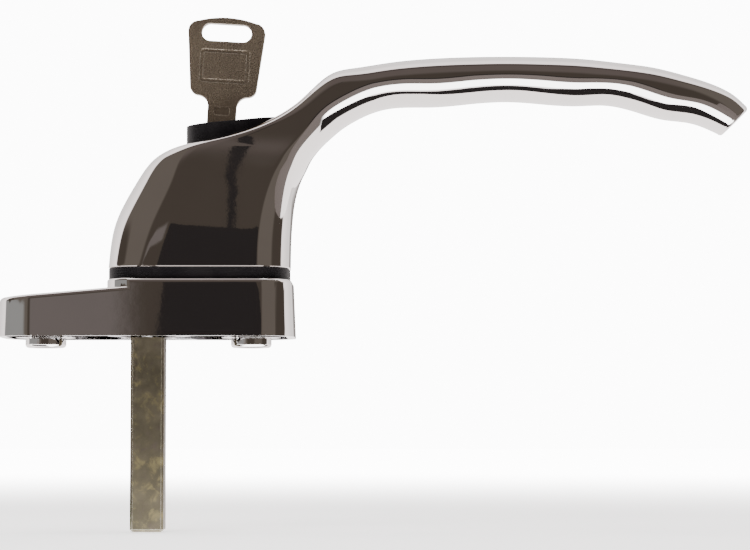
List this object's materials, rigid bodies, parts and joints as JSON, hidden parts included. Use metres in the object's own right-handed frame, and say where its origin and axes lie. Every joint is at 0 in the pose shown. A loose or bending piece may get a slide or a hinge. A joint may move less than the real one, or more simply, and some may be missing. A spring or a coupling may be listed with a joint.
{
  "type": "locking window handle",
  "caption": "Chrome inline window handle with a key lock in its neck, a black slip ring, a square spindle and a two-screw base with a low wing.",
  "frame": {"origin": "on the spindle axis, at the back face of the base that lies on the window frame, midway between the fixing screws", "axes": "+Z out of the window into the room along the spindle axis; +X along the row of fixing screws towards the lever's tip in the closed pose; +Y across the base"},
  "size_m": [0.1566, 0.028, 0.1078],
  "materials": {
    "chrome_plate": "bright chrome plate on a zinc casting",
    "black_plastic": "satin black moulded nylon",
    "yellow_zinc": "yellow passivated zinc plate, mottled olive",
    "key_nickel": "nickel plated pressed steel",
    "zinc_steel": "bright zinc plated steel",
    "spring_steel": "oiled spring steel",
    "ball_steel": "polished bearing steel",
    "lock_brass": "turned brass",
    "plug_nickel": "nickel plated brass"
  },
  "bodies": {
    "base": {"base_plate": "chrome_plate", "screw_cap": "chrome_plate"},
    "handle": {"handle_casting": "chrome_plate", "slip_ring": "black_plastic", "cover_screws": "zinc_steel", "spindle": "yellow_zinc", "spindle_pin": "zinc_steel", "retaining_washer": "zinc_steel", "retaining_circlip": "spring_steel", "disc_spring": "spring_steel", "lock_surround": "black_plastic", "lock_housing": "lock_brass", "housing_circlip": "spring_steel", "detent_spring_1": "spring_steel", "detent_spring_2": "spring_steel"},
    "detents": {"detent_ball_1": "ball_steel", "detent_ball_2": "ball_steel"},
    "plug": {"lock_plug": "plug_nickel", "lock_cam": "zinc_steel", "cam_washer": "zinc_steel", "cam_screw": "zinc_steel", "wafer_springs": "spring_steel"},
    "bolt": {"lock_bolt": "zinc_steel", "bolt_pin": "zinc_steel"},
    "key": {"key": "key_nickel"},
    "wafer_1": {"wafer_1": "lock_brass"},
    "wafer_2": {"wafer_2": "lock_brass"},
    "wafer_3": {"wafer_3": "lock_brass"},
    "wafer_4": {"wafer_4": "lock_brass"}
  },
  "joints": [
    {"name": "handle_turn", "type": "hinge", "parent": "base", "child": "handle", "pos_m": [0, 0, 0], "axis": [0, 0, 1], "range_deg": [-90, 90]},
    {"name": "detent_lift", "type": "slide", "parent": "handle", "child": "detents", "axis": [0, 0, 1], "range_m": [-0.00025, 0], "stiffness_N_per_m": 800, "springref_m": -0.004, "deforming": ["detent_spring_1", "detent_spring_2"]},
    {"name": "plug_turn", "type": "hinge", "parent": "handle", "child": "plug", "pos_m": [0.0152, 0, 0.044], "axis": [0, 0, 1], "range_deg": [0, 90]},
    {"name": "bolt_slide", "type": "slide", "parent": "handle", "child": "bolt", "axis": [-1, 0, 0], "range_m": [0, 0.0021]},
    {"name": "key_pull", "type": "slide", "parent": "plug", "child": "key", "axis": [0, 0, 1], "range_m": [0, 0.024]},
    {"name": "wafer_1_slide", "type": "slide", "parent": "plug", "child": "wafer_1", "axis": [1, 0, 0], "range_m": [0, 0.0004]},
    {"name": "wafer_2_slide", "type": "slide", "parent": "plug", "child": "wafer_2", "axis": [-1, 0, 0], "range_m": [0, 0.0004]},
    {"name": "wafer_3_slide", "type": "slide", "parent": "plug", "child": "wafer_3", "axis": [1, 0, 0], "range_m": [0, 0.0004]},
    {"name": "wafer_4_slide", "type": "slide", "parent": "plug", "child": "wafer_4", "axis": [-1, 0, 0], "range_m": [0, 0.0004]}
  ],
  "couplings": [
    {"joint": "bolt_slide", "follows": "plug_turn", "m_per_rad": 0.0013369},
    {"joint": "wafer_1_slide", "follows": "key_pull", "ratio": 0.016666},
    {"joint": "wafer_2_slide", "follows": "key_pull", "ratio": 0.016666},
    {"joint": "wafer_3_slide", "follows": "key_pull", "ratio": 0.016666},
    {"joint": "wafer_4_slide", "follows": "key_pull", "ratio": 0.016666}
  ]
}
